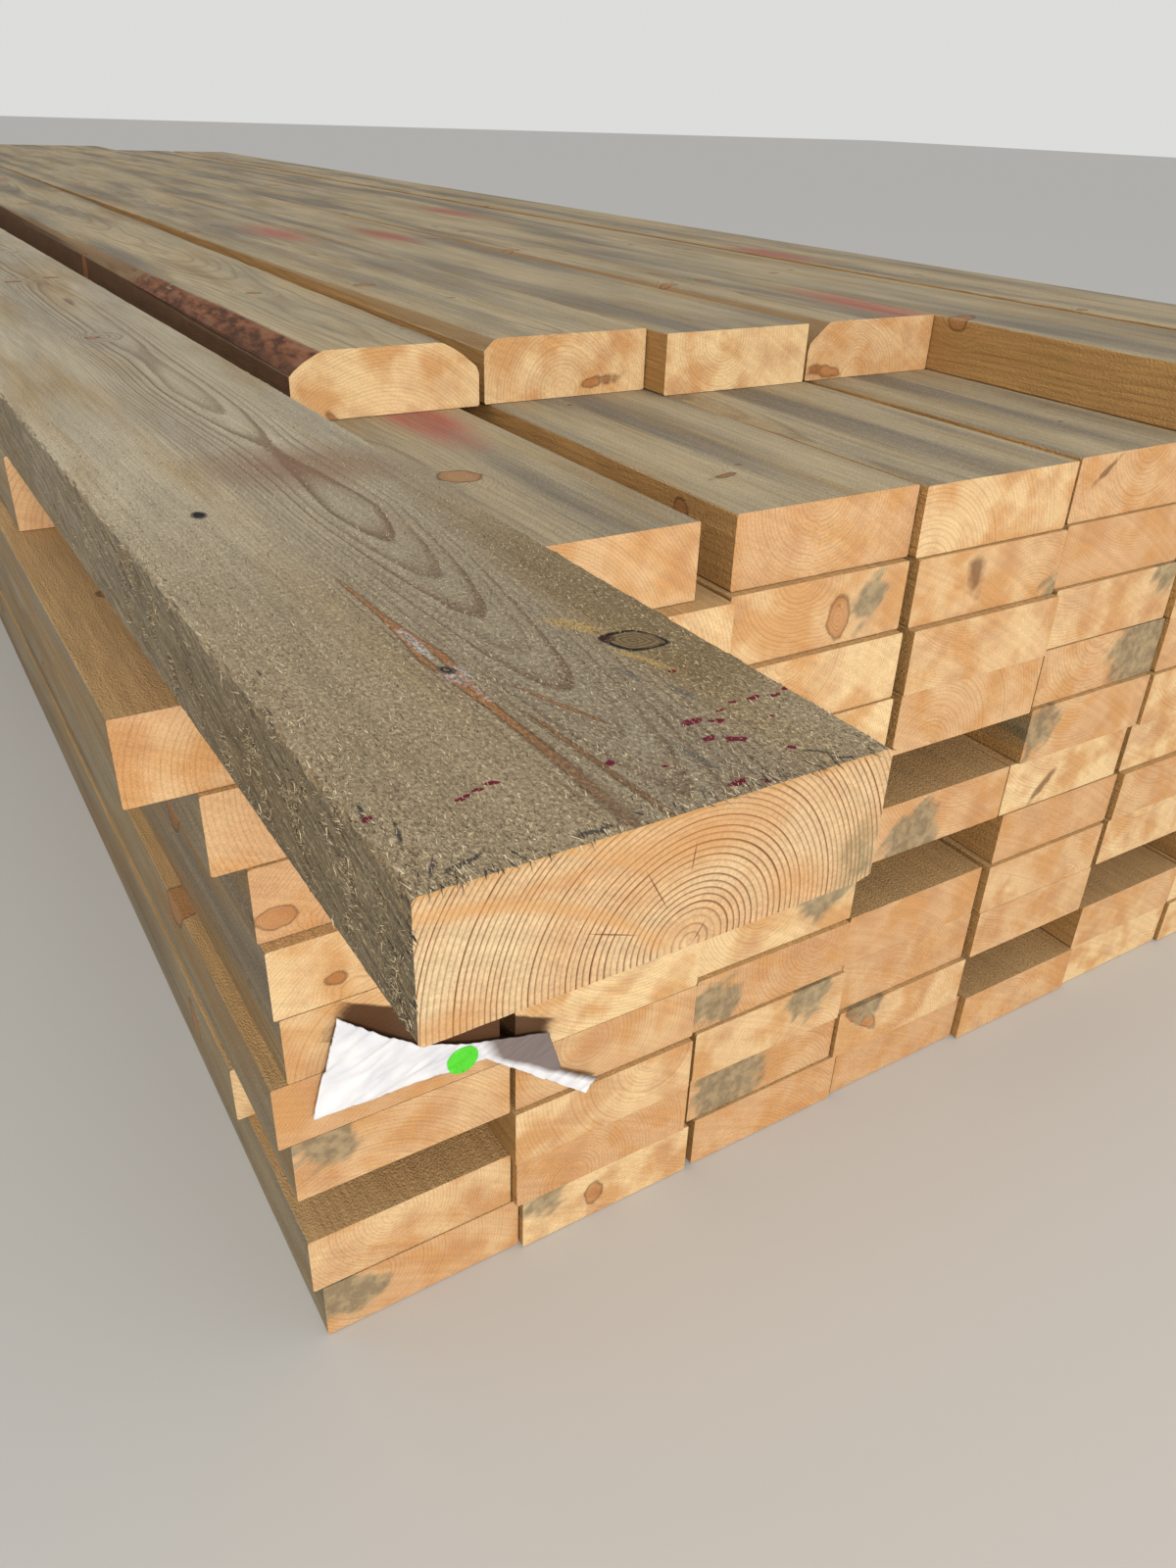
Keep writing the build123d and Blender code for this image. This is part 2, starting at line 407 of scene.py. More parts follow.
def fibre_fuzz_tree():
    """Torn fibres: thin three-sided spikes that lean out of a board's sawn faces, mostly along the grain."""
    tree, given = new_tree(
        "fibre_fuzz",
        Density=("Float", 540000.0),
        Reach=("Float", 0.55),
        Length=("Float", 1.5 * MM),
        Thickness=("Float", 0.21 * MM),
        Lift=("Float", 28.0),
        Arris_Only=("Float", 0.0),
        Seed=("Int", 0),
        Material=("Material", None),
    )
    new = partial(add, tree)
    spot = new(READ_VECTOR, "board_point")
    across, along, up = new(SPLIT, spot)
    facing_x, _, facing_z = new(SPLIT, new("GeometryNodeInputNormal"))
    on_top = new(RANGE, facing_z, 0.5, 0.8, 0, 1)
    on_left = new(RANGE, facing_x, -0.5, -0.8, 0, 1)
    on_face = new(MAXIMUM, on_top, on_left)
    reach_mm = new(MULTIPLY, given["Reach"], 1 / MM)
    thin_out = new(RANGE, along, 0, reach_mm, 1, 0)
    # they stand in clumps 8 to 20 mm wide, and thickest along the left arris
    clumps = new(RANGE, new(NOISE, spot, 0.09, 2), 0.35, 0.65, 0.25, 1.5)
    by_arris = new(RANGE, across, 0, 45, 2, 0.8)
    density = new(MULTIPLY, new(MULTIPLY, on_face, thin_out), given["Density"])
    density = new(MULTIPLY, density, new(MULTIPLY, clumps, by_arris))
    tufted = new(NOISE, new(V_MULTIPLY, spot, (1, 0.11, 0.075)), 1, 2)
    tufted = new(FADE, on_left, 1, new(RANGE, tufted, 0.56, 0.61, 0.06, 3))
    density = new(MULTIPLY, density, tufted)
    only = new(FADE, given["Arris_Only"], 1, new(RANGE, across, 2, 11, 1, 0))
    density = new(MULTIPLY, new(MULTIPLY, density, only), new(RANGE, up, 2, 5, 0, 1))
    for x, y, width, length in bare_spots_mm:
        off = new(V_DIVIDE, new(V_SUBTRACT, spot, (x, y, 0)), (width, length, ENDLESS))
        bare = new(RANGE, new(LENGTH, off), 0.9, 1.2, 0.08, 1)
        density = new(MULTIPLY, density, bare)
    scatter = {"Mesh": given["Geometry"], "Density": density, "Seed": given["Seed"]}
    first_two = slice(2)
    points, normal = new("GeometryNodeDistributePointsOnFaces", scatter, output=first_two)

    def luck(low, high, seed):
        """A random number of its own for every fibre."""
        ends = {2: low, 3: high, "Seed": seed}
        return new("FunctionNodeRandomValue", ends, output=1, data_type="FLOAT")

    # a fibre points along the board either way, off it by up to 30 degrees, and lifts off the face
    way = new(RANGE, luck(0, 1, 1), 0.49, 0.51, -1, 1)
    grain = new(JOIN, luck(-0.5, 0.5, 2), way, luck(-0.5, 0.5, 3))
    flat = new(NORMALIZE, new(V_SUBTRACT, grain, new(PROJECT, grain, normal)))
    lift = new(MULTIPLY, given["Lift"], luck(0.1, 1.6, 4))
    lift = new(TANGENT, new(MULTIPLY, lift, math.pi / 180))
    lean = new(V_ADD, flat, new(SCALE, normal, lift))
    turn = new("FunctionNodeAlignEulerToVector", {"Vector": lean}, axis="Z")
    cone = {"Vertices": 3, "Radius Top": 0.0, "Radius Bottom": 1.0, "Depth": 1.0}
    spike = new("GeometryNodeMeshCone", cone, output="Mesh")
    thickness = new(MULTIPLY, given["Thickness"], luck(0.4, 1, 5))
    length = new(MULTIPLY, given["Length"], luck(0.3, 1.3, 6))
    scale = new(JOIN, thickness, new(MULTIPLY, thickness, 0.6), length)
    points = new(STORE_NUMBER, points, "fibre_luck", luck(0, 1, 7))
    placing = {"Points": points, "Instance": spike, "Rotation": turn, "Scale": scale}
    fibres = new("GeometryNodeRealizeInstances", new("GeometryNodeInstanceOnPoints", placing))
    fibres = new("GeometryNodeSetMaterial", fibres, None, given["Material"])
    new("NodeGroupOutput", fibres, output=ALL)
    return tree


# Materials

def new_material(name):
    """An empty material, and the function that adds nodes to it."""
    material = bpy.data.materials.new(name)
    material.use_nodes = True
    material.node_tree.nodes.clear()
    return material, partial(add, material.node_tree)


def even_material(name, shade, roughness):
    """A material that is the same all over."""
    material = bpy.data.materials.new(name)
    material.use_nodes = True
    shader = material.node_tree.nodes["Principled BSDF"]
    shader.inputs["Base Color"].default_value = colour(shade)
    shader.inputs["Roughness"].default_value = roughness
    return material


def oval(new, spot, centre, halves, degrees=0.0):
    """How far a spot is from an oval's middle, in the oval's half widths. A half width of None runs on."""
    scale = [ENDLESS if half is None else half for half in halves]
    return new(LENGTH, new(LOCAL, spot, centre, (0, 0, math.radians(degrees)), scale))


def nearest_oval(new, spot, ovals):
    """How far a spot is from the nearest oval: across, along, two half widths and degrees of each."""
    nearest = None
    for x, y, half_x, half_y, degrees in ovals:
        gap = oval(new, spot, (x, y, 0), (half_x, half_y, None), degrees)
        nearest = gap if nearest is None else new(MINIMUM, nearest, gap)
    return nearest


def lumps(new, place, size_mm, detail=2.0, roughness=0.5, output=None):
    """Noise with lumps of that size across, along and up."""
    scaled = new(V_MULTIPLY, place, tuple(1 / mm for mm in size_mm))
    return new(NOISE, scaled, 1, detail, roughness, output=output)


# where in the wood a point of the surface is: its board_point, the same moved by the board's own seed so that
# no two boards look alike, its three parts and the seed
WOOD_PLACE = ("spot", "own", "across", "along", "up", "seed")


def wood_figure(new, bent_heart):
    """What grew in the wood: late-wood bands round the log's heart, and knots.

    bent_heart is how far the heart moves, across and up, over the first 280 mm."""
    spot = new(CARRIED_VECTOR, attribute_name="board_point")
    seed = new(CARRIED_NUMBER, attribute_name="board_seed")
    heart = new(CARRIED_VECTOR, attribute_name="board_heart")
    lean = new(CARRIED_VECTOR, attribute_name="board_lean")
    ring_mm = new(CARRIED_NUMBER, attribute_name="board_ring")
    across, along, up = new(SPLIT, spot)
    own = new(V_MULTIPLY_ADD, new(JOIN, seed, seed, seed), (37, 91, 53), spot)

    # the heart wanders by up to 7 mm either way over about half a metre
    wander_place = new(MULTIPLY_ADD, along, 1 / 500, seed)
    wander = new(NOISE_1D, wander_place, 1, output="Color")
    wander = new(V_MULTIPLY_ADD, wander, (14, 0, 14), (-7, 0, -7))
    if bent_heart:
        settle = new(RANGE, along, 0, 500, 0, 1)
        wander = new(SCALE, wander, settle)
        bent = new(RANGE, along, 0, 280, 0, 1)
        wander = new(V_MULTIPLY_ADD, new(JOIN, bent, bent, bent), bent_heart, wander)
    leaning = new(SCALE, lean, along)
    heart_here = new(V_ADD, new(V_ADD, heart, leaning), wander)
    from_heart = new(V_MULTIPLY, new(V_SUBTRACT, spot, heart_here), (1, 0, 1))
    radius = new(LENGTH, from_heart)
    heart_x, _, heart_z = new(SPLIT, from_heart)
    angle = new(ARCTAN2, heart_x, heart_z)

    # branches stand round the heart, a whorl about every 300 mm, and point a little upwards
    whorl_mm, turns = 300.0, 1.1
    whorl = new(MULTIPLY_ADD, along, 1 / whorl_mm, seed)
    round_it = new(MULTIPLY, angle, turns)
    cell = {"Vector": new(JOIN, whorl, round_it, 0), "Scale": 1.0}
    nearest = new("ShaderNodeTexVoronoi", cell, output=ALL, voronoi_dimensions="2D")
    luck = new(SPLIT, nearest[1])[0]
    branch_x, branch_y, _ = new(SPLIT, nearest[2])
    rise = new(MULTIPLY, radius, 0.3)
    off_along = new(MULTIPLY_ADD, new(SUBTRACT, whorl, branch_x), whorl_mm, rise)
    off_round = new(SUBTRACT, round_it, branch_y)
    off_round = new(MULTIPLY, off_round, new(MULTIPLY, radius, 1 / turns))
    branch_distance = new(LENGTH, new(JOIN, off_along, off_round, 0))
    branch_share = new(RANGE, luck, 0.5, 1, 0.04, 0.16)
    branch_radius = new(MULTIPLY, radius, branch_share)
    branch_depth = new(SUBTRACT, branch_radius, branch_distance)
    # half of the places have no branch, and the drawn-out board has none near its near end
    lacking = new(RANGE, luck, 0.5, 0.53, -60, 0)
    branch_depth = new(ADD, branch_depth, lacking)
    if bent_heart:
        depth = new(ADD, branch_depth, new(RANGE, along, 500, 620, -60, 0))
    else:
        end_knot = new(CARRIED_VECTOR, attribute_name="board_knot")
        knot_tall = new(CARRIED_NUMBER, attribute_name="board_knot_tall")
        knot_x, knot_z, knot_half = new(SPLIT, end_knot)
        knot_off = new(
            JOIN,
            new(SUBTRACT, across, knot_x),
            new(MULTIPLY, along, 0.5),
            new(DIVIDE, new(SUBTRACT, up, knot_z), knot_tall),
        )
        end_depth = new(SUBTRACT, knot_half, new(LENGTH, knot_off))
        depth = new(MAXIMUM, branch_depth, end_depth)
    # no knot is quite round: its outline is off by up to 2 mm every 10 mm
    lumpy = lumps(new, own, (10, 14, 10), 1.0)
    depth = new(MULTIPLY_ADD, lumpy, 6, new(ADD, depth, -3))

    # rings: pale early wood that darkens outwards into a late-wood band with a sharp outer edge
    wobble = lumps(new, own, (90, 260, 90), 3.0, 0.35)
    depth = new(MULTIPLY_ADD, wobble, 5, new(ADD, depth, -2.5))
    knot = new(RANGE, depth, -0.6, 0.6, 0, 1)
    knot_edge = new(RANGE, new(ABSOLUTE, depth), 0, 1.4, 1, 0)
    bend = new(SMOOTH_RANGE, depth, -20, 0, 0, 1)
    grown_radius = new(MULTIPLY_ADD, bend, -7, new(MULTIPLY_ADD, wobble, 5, radius))
    grown_radius = new(MAXIMUM, new(MULTIPLY_ADD, along, -log_taper, grown_radius), 0)
    years = new(NOISE_1D, new(MULTIPLY_ADD, grown_radius, 1 / 16, seed), 1, 1)
    # growth slows down outwards: a year is ring_mm wide 20 mm from the heart, and four fifths of it at 80 mm
    ring = new(MULTIPLY, new(DIVIDE, new(POWER, grown_radius, 1.15), ring_mm), 1 / 1.8)
    ring = new(MULTIPLY_ADD, years, 1.6, ring)
    knot_ring = new(MULTIPLY, depth, 0.7)
    ring = new(FADE, knot, ring, knot_ring)
    phase = new(FRACT, ring)
    rising = new(SMOOTH_RANGE, phase, 0.52, 0.88, 0, 1)
    falling = new(RANGE, phase, 0.92, 1, 1, 0)
    year_luck = new("ShaderNodeTexWhiteNoise", {"W": new(FLOOR, ring)}, noise_dimensions="1D")
    strength = new(RANGE, year_luck, 0, 1, 0.35, 1)
    young = new(RANGE, radius, 3, 16, 0.45, 1)
    strength = new(MULTIPLY, strength, young)
    late = new(MULTIPLY, new(MULTIPLY, rising, falling), strength)
    late_soft = new(SMOOTH_RANGE, phase, 0.2, 0.85, 0, 1)
    late_soft = new(MULTIPLY, new(MULTIPLY, late_soft, falling), strength)
    return {
        **dict(zip(WOOD_PLACE, (spot, own, across, along, up, seed))),
        "late": late, "late_soft": late_soft, "lumpy": lumpy,
        "knot": knot, "knot_edge": knot_edge, "knot_depth": depth,
    }


def on_face(new, share, face, shown, shade):
    """The colour shown with another shade over it by that share, on one face alone."""
    return new(BLEND, new(MULTIPLY, share, face), shown, shade)


def sawn_spruce(name, drawn_out=False):
    """Spruce, sawn rough: it stands up in a fuzz, tops have greyed, sides are golden and ends are fresh."""
    material, new = new_material(name)
    figure = wood_figure(new, bent_heart=(14.0, 0.0, 16.0) if drawn_out else None)
    spot, own, across, along, up, seed = (figure[name] for name in WOOD_PLACE)
    late, knot, lumpy = figure["late"], figure["knot"], figure["lumpy"]
    facing = new("ShaderNodeNewGeometry", output="Normal")
    _, facing_y, facing_z = new(SPLIT, facing)
    end = new(RANGE, new(ABSOLUTE, facing_y), 0.6, 0.8, 0, 1)
    top = new(RANGE, facing_z, 0.45, 0.8, 0, 1)
    tone = new(CARRIED_NUMBER, attribute_name="board_tone")
    weather = new(CARRIED_NUMBER, attribute_name="board_weather")

    # broad patches of a few centimetres, drawn out along the grain
    patches = lumps(new, own, (34, 240, 34), 3.0, output="Color")
    patch_a, patch_b, patch_c = new(SPLIT, patches)

    # fuzz: clumps of torn fibre about 1 mm by 2 mm, and streaks of 3 mm by 70 mm
    clumps = lumps(new, own, (1.0, 2.2, 1.0), roughness=0.65)
    streaks = lumps(new, own, (2.6, 70, 2.6), roughness=0.7)

    # fresh end grain, from cream to orange by the board and in patches
    if drawn_out:
        early = new(BLEND, new(RANGE, patch_a, 0.3, 0.7, 0, 1), "d0b78f", "c59c70")
    else:
        tint = new(MULTIPLY, new(ADD, patch_a, tone), 0.5)
        early = new(BLEND, new(RANGE, tint, 0.3, 0.7, 0, 1), "e3c595", "cda377")
        early = new(BLEND, new(RANGE, patch_b, 0.45, 0.62, 0, 0.75), early, "c69159")
        early = new(BLEND, new(RANGE, patch_c, 0.5, 0.68, 0, 0.5), early, "b98a63")
    ring_share = 1.0 if drawn_out else 0.3
    ring_colour = "652d0d" if drawn_out else "804520"
    end_colour = new(BLEND, new(MULTIPLY, late, ring_share), early, ring_colour)
    pores = new(RANGE, clumps, 0.35, 0.65, 0.85, 1.09)
    end_colour = new(TINT, 1, end_colour, pores)
    # the cross-cut saw left arcs 3 to 6 mm apart, struck from a point below to the left
    saw_radius = new(LENGTH, new(V_SUBTRACT, spot, (-180, 0, -420)))
    saw_marks = new(NOISE_1D, new(MULTIPLY_ADD, saw_radius, 1 / 4.5, seed), 1, 2)
    saw_shade = new(RANGE, saw_marks, 0.3, 0.7, 0.94, 1.04)
    end_colour = new(TINT, 1, end_colour, saw_shade)

    # golden sides and undersides
    gold = new(BLEND, patch_b, "c89d62", "ab7f48")
    gold = new(BLEND, new(MULTIPLY, late, 0.45), gold, "85602f")

    # greyed tops
    pale_grey, dark_grey = ("ccbea2", "b5aa94") if drawn_out else ("c2b08f", "aa9d83")
    grey = new(BLEND, new(RANGE, patch_a, 0.35, 0.65, 0, 1), pale_grey, dark_grey)
    grey = new(BLEND, new(RANGE, patch_c, 0.48, 0.7, 0, 0.65), grey, "ae905f")
    grain_share = 0.42
    if drawn_out:
        # painted shade: the top is darker towards the near end
        near = new(SMOOTH_RANGE, along, 60, 420, 0.65, 0)
        grey = new(BLEND, near, grey, "99835f")
        # over the heart it is grey with brown arcs, and along the right arris it is olive
        wavering = new(MULTIPLY_ADD, patch_c, 30, new(ADD, across, -15))
        beside = new(ABSOLUTE, new(ADD, wavering, -92))
        over_heart = new(RANGE, beside, 18, 40, 1, 0)
        heart_share = new(MULTIPLY, over_heart, new(RANGE, along, 100, 420, 0.5, 0.2))
        grey = new(BLEND, heart_share, grey, "958c7b")
        olive = new(RANGE, wavering, 120, 134, 0, 0.7)
        olive_from = new(RANGE, along, 30, 70, 0, 1)
        olive_along = new(MULTIPLY, olive_from, new(RANGE, along, 180, 420, 1, 0.1))
        grey = new(BLEND, new(MULTIPLY, olive, olive_along), grey, "7d663c")
        grain_share = new(MULTIPLY_ADD, over_heart, 0.5, 0.2)
        brown_share = new(MULTIPLY, figure["late_soft"], over_heart)
        brown_share = new(MULTIPLY, brown_share, new(RANGE, along, 150, 380, 0.5, 0.25))
        grey = new(BLEND, brown_share, grey, "816850")
    else:
        # black-grey streaks of weather, 46 mm wide and up to half a metre long
        gloom = lumps(new, own, (46, 520, 46))
        grey = new(BLEND, new(RANGE, gloom, 0.48, 0.64, 0, 0.65), grey, "706b65")
        grey = new(BLEND, new(RANGE, gloom, 0.44, 0.3, 0, 0.5), grey, "cdb993")
    grey = new(BLEND, new(MULTIPLY, late, grain_share), grey, "6f5640")

    weathering = new(MULTIPLY, top, weather)
    outer = new(CARRIED_NUMBER, attribute_name="board_outer")
    on_left = new(RANGE, new(SPLIT, facing)[0], -0.45, -0.8, 0, 1)
    side_weather = on_left
    if not drawn_out:
        side_weather = new(MULTIPLY, new(RANGE, patch_c, 0.44, 0.64, 1, 0.45), outer)
        side_weather = new(MULTIPLY, side_weather, on_left)
    weathering = new(MAXIMUM, weathering, side_weather)
    # painted light: the tops of covered boards, seen in hollows, are lighter than their sides
    gold = new(BLEND, new(MULTIPLY, top, 0.5), gold, "dcb681")
    face_colour = new(BLEND, weathering, gold, grey)
    if drawn_out:
        # painted shade darkens the drawn-out board's left face, over its weathered grey
        face_colour = new(BLEND, new(MULTIPLY, on_left, 0.56), face_colour, "5c4e37")
    else:
        # painted shade on the left faces of the outer column
        painted_side_shade = new(MULTIPLY, new(MULTIPLY, on_left, outer), 0.45)
        face_colour = new(BLEND, painted_side_shade, face_colour, "6d5b43")
    fuzz_share = 0.24
    if drawn_out:
        fuzz_share = new(RANGE, along, 0, 260, 0.62, 0.28)
        fuzz_share = new(MULTIPLY, fuzz_share, new(RANGE, on_left, 0, 1, 1, 0.5))
    fuzz = new(MULTIPLY_ADD, weathering, fuzz_share, 0.06)
    # pale flecks of torn fibre carry a painted highlight, and the dark pits between them are painted shade
    fleck_and_highlight = new(MULTIPLY, new(RANGE, clumps, 0.58, 0.68, 0, 1.3), fuzz)
    pit_shade = new(MULTIPLY, new(RANGE, clumps, 0.48, 0.3, 0, 0.9), fuzz)
    streak = new(RANGE, streaks, 0.3, 0.7, 0.84, 1.12)
    face_colour = new(BLEND, pit_shade, new(BLEND, fleck_and_highlight, face_colour, "dfcda6"), "57422e")
    face_colour = new(TINT, 1, face_colour, streak)
    if drawn_out:
        # the saw left ridges on the left side that rise towards the near end, 1.5 mm apart and 20 mm long
        ridges = new(LOCAL, own, (0, 0, 0), (math.radians(14), 0, 0), (3, 22, 1.5))
        ridges = new(NOISE, ridges, 1, 3, 0.6)
        ridge_shade = new(RANGE, ridges, 0.34, 0.66, 0.55, 1.35)
        ridged = new(TINT, 1, face_colour, ridge_shade)
        face_colour = new(BLEND, on_left, face_colour, ridged)
    shown = new(BLEND, end, face_colour, end_colour)

    if not drawn_out:
        # where the log's round is left, the wood is smooth and brown, and one edge has kept red-brown bark
        beyond = new(CARRIED_NUMBER, attribute_name="beyond_log")
        bark_mm = new(CARRIED_NUMBER, attribute_name="board_bark")
        round_face = new(MULTIPLY, new(RANGE, beyond, 0.3, 1.6, 0, 0.75), new(SUBTRACT, 1, end))
        shown = new(BLEND, round_face, shown, new(BLEND, patch_b, "b08a58", "8a6a45"))
        flakes = lumps(new, own, (9, 26, 9), roughness=0.65)
        bark_end = new(MULTIPLY_ADD, patch_a, 300, new(ADD, bark_mm, -150))
        bark_left = new(SUBTRACT, bark_end, along)
        # it has come off in flakes, more and more towards its far end
        bark_kept = new(MULTIPLY_ADD, flakes, 340, new(ADD, bark_left, -120))
        bark = new(RANGE, bark_kept, 0, 25, 0, 1)
        bark = new(MULTIPLY, bark, new(RANGE, across, 62, 74, 1, 0))
        bark = new(MULTIPLY, new(MULTIPLY, bark, round_face), 1.3, use_clamp=True)
        bark_colour = new(BLEND, new(RANGE, flakes, 0.38, 0.58, 0, 1), "573728", "9a6141")
        bark_colour = new(BLEND, new(RANGE, flakes, 0.56, 0.7, 0, 0.8), bark_colour, "8c7259")
        shown = new(BLEND, bark, shown, bark_colour)
        # bark colour and painted shade darken the whole left face of the board that has bark
        bark_and_shade_beside = new(MULTIPLY, new(RANGE, bark_mm, -400, 0, 0, 0.85), on_left)
        shown = new(BLEND, bark_and_shade_beside, shown, new(BLEND, flakes, "3a281d", "6e4c36"))

    # knots, darker towards the rim, with a broken dark line of bark round them
    knot_colour = new(BLEND, new(RANGE, patch_b, 0.35, 0.65, 0, 1), "c08c5c", "a4642f")
    knot_colour = new(BLEND, new(MULTIPLY, late, 0.7), knot_colour, "6a4020")
    dark_rim = new(RANGE, figure["knot_depth"], 0, 3, new(RANGE, end, 0, 1, 0.8, 0.55), 0)
    knot_colour = new(BLEND, dark_rim, knot_colour, "6b4528")
    shown = new(BLEND, new(MULTIPLY, knot, 0.75), shown, knot_colour)
    rim = new(MULTIPLY, figure["knot_edge"], new(RANGE, clumps, 0.4, 0.6, 0.05, 0.7))
    shown = new(BLEND, rim, shown, "3d2a1a")

    # blue stain in the outer wood, mottled over about 9 mm
    mottle = lumps(new, own, (9, 60, 9), roughness=0.6)
    if not drawn_out:
        smudge = new(LOCAL, own, (0, 0, 0), (0, math.radians(-35), 0), (24, 60, 11))
        smudge = new(NOISE, smudge, 1, 2, 0.5)
        stain = new(CARRIED_VECTOR, attribute_name="board_stain")
        stain_x, stain_z, stain_radius = new(SPLIT, stain)
        stain_off = new(
            JOIN,
            new(SUBTRACT, across, stain_x),
            new(MULTIPLY, along, 0.06),
            new(SUBTRACT, up, stain_z),
        )
        stain_off = new(MULTIPLY_ADD, patch_b, 30, new(LENGTH, stain_off))
        stain_off = new(MULTIPLY_ADD, smudge, 44, stain_off)
        stain_in = new(SUBTRACT, stain_radius, stain_off)
        stained = new(SMOOTH_RANGE, stain_in, -40, -27, 0, 0.8)
        stain_colour = new(BLEND, new(RANGE, mottle, 0.4, 0.62, 1, 0), "9a8b6c", "726a55")
        shown = new(BLEND, stained, shown, stain_colour)
        crack = new(CARRIED_VECTOR, attribute_name="board_crack")
        crack_size = new(CARRIED_VECTOR, attribute_name="board_crack_size")
        crack_x, crack_degrees, crack_z = new(SPLIT, crack)
        crack_off = new(V_SUBTRACT, spot, new(JOIN, crack_x, along, crack_z))
        crack_turn = new(MULTIPLY, crack_degrees, math.pi / 180)
        crack_off = new(ROTATE, crack_off, crack_turn, rotation_type="Y_AXIS")
        crack_off = new(LENGTH, new(V_DIVIDE, crack_off, crack_size))
        crack_off = new(MULTIPLY_ADD, lumpy, 1.2, crack_off)
        cracked_end = new(MULTIPLY, new(RANGE, crack_off, 1, 1.6, 0.8, 0), end)
        shown = new(BLEND, cracked_end, shown, "745035")

        # red rubs on the tops
        rub = new(CARRIED_VECTOR, attribute_name="board_rub")
        rub_x, rub_y, rub_length = new(SPLIT, rub)
        rub_off = new(
            JOIN,
            new(MULTIPLY, new(SUBTRACT, across, rub_x), 1 / 38),
            new(DIVIDE, new(SUBTRACT, along, rub_y), rub_length),
            0,
        )
        rub_off = new(LENGTH, rub_off)
        rubbed = new(RANGE, new(MULTIPLY_ADD, patch_c, 1.2, rub_off), 0.9, 1.6, 0.8, 0)
        rubbed = new(MULTIPLY, rubbed, top)
        rubbed = new(MULTIPLY, rubbed, new(RANGE, streaks, 0.35, 0.6, 0.4, 1))
        shown = new(BLEND, rubbed, shown, "b5564c")

        # a painted shadow on the ends: a dark band along the top edge of the paper tag, in object millimetres
        object_mm = new(SCALE, new("ShaderNodeTexCoord", output="Object"), 1 / MM)
        band = new(LOCAL, object_mm, (-431.4, 0, 242.6), (0, math.radians(27.6), 0), (80, ENDLESS, 14))
        band = new(V_ABSOLUTE, band)
        band_x, _, band_z = new(SPLIT, band)
        band = new(MULTIPLY_ADD, mottle, 0.14, new(MAXIMUM, band_x, band_z))
        painted_shadow = new(SMOOTH_RANGE, band, 0.97, 1.15, 1, 0)
        painted_shadow_depth = new(RANGE, new(SPLIT, object_mm)[1], -1840, -1815, 0, 0.93)
        painted_shadow_depth = new(MULTIPLY, painted_shadow_depth, new(RANGE, along, 0, 60, 1, 0))
        shown = new(BLEND, new(MULTIPLY, painted_shadow, painted_shadow_depth), shown, "41230f")

    rough = 0.85
    height = new(MULTIPLY_ADD, streaks, 0.3, new(MULTIPLY, clumps, 0.9))
    if drawn_out:
        shown, rough, height = drawn_out_features(new, figure, top, end, mottle, clumps, shown, height)
    else:
        height = new(MULTIPLY_ADD, new(MULTIPLY, bark, flakes), 1.4, height)

    # relief: about 0.3 mm of fuzz on the faces, less on the cut ends
    relief = new(RANGE, end, 0, 1, 1, 0.22)
    bump = new("ShaderNodeBump", {"Strength": relief, "Distance": 2.5 * MM, "Height": height})
    looks = {"Base Color": shown, "Roughness": rough, "Normal": bump, "IOR": 1.45, "Specular IOR Level": 0.3}
    shader = new("ShaderNodeBsdfPrincipled", looks)
    new("ShaderNodeOutputMaterial", shader, output=ALL)
    return material


def torn_fibre(name, dark_share):
    """Loose spruce fibre, dry and straw-coloured, a share of it dark and wet."""
    material, new = new_material(name)
    luck = new(CARRIED_NUMBER, attribute_name="fibre_luck")
    root = new(CARRIED_VECTOR, attribute_name="board_point")
    shown = new(BLEND, new(RANGE, luck, 0.12, 0.4, 0, 1), "e8d8b4", "9c8768")
    shown = new(BLEND, new(RANGE, luck, 0.45, 0.85, 0, 1), shown, "6c5842")
    # painted shade: fibres rooted on the left face are darker
    shaded_side = new(RANGE, new(SPLIT, root)[0], 0.6, 1.2, 0.15, 0)
    shown = new(BLEND, shaded_side, shown, "5c5039")
    dark = new(RANGE, luck, 0.98 - dark_share, 1 - dark_share, 0, 1)
    shown = new(BLEND, dark, shown, "3f3a36")
    looks = {"Base Color": shown, "Roughness": 0.7, "Specular IOR Level": 0.3}
    shader = new("ShaderNodeBsdfPrincipled", looks)
    new("ShaderNodeOutputMaterial", shader, output=ALL)
    return material


# On the top of the drawn-out board: across, along, half length, half width and degrees of a mark
red_dashes_mm = [
    (110, 41, 3.6, 1.7, 4), (117, 38.5, 2.4, 1.2, -8), (108, 30, 2.2, 1.2, 12), (115, 26, 3.2, 1.5, -4),
    (122, 43, 1.8, 0.6, 4), (129, 45.5, 1.6, 0.7, 10), (137, 45.5, 2.4, 1.1, 0), (144.5, 44, 2.0, 1.0, 14),
    (150.5, 46, 1.6, 1.0, 0), (126, 15, 1.5, 1.0, 0), (99, 5, 3.2, 1.3, 8), (107, 3, 1.4, 0.9, 0),
    (75, 32, 1.5, 1.2, 30), (125.6, 72.4, 1.5, 1.1, 0), (31, 35, 2.4, 0.9, 6), (36, 36, 1.6, 0.8, -6),
    (41, 37.5, 2.2, 0.9, -6), (5, 36, 1.8, 1.0, 40), (87, 22, 0.9, 0.7, 0), (134, 33, 0.9, 0.7, 0),
]
black_nicks_mm = [
    (52, 4, 5, 1.2, 0), (17, 7, 7, 1.0, 14), (10, 9, 5, 0.7, 60), (131, 9, 5, 0.7, -40),
    (135, 3, 4, 0.7, -30), (9, 26, 7, 0.7, 75), (5, 40, 5, 0.7, 75),
]
blue_smears_mm = [(119.5, 59, 1.3, 7, 6), (112, 78, 1.3, 6, 6), (98, 22, 1.3, 9, 6)]
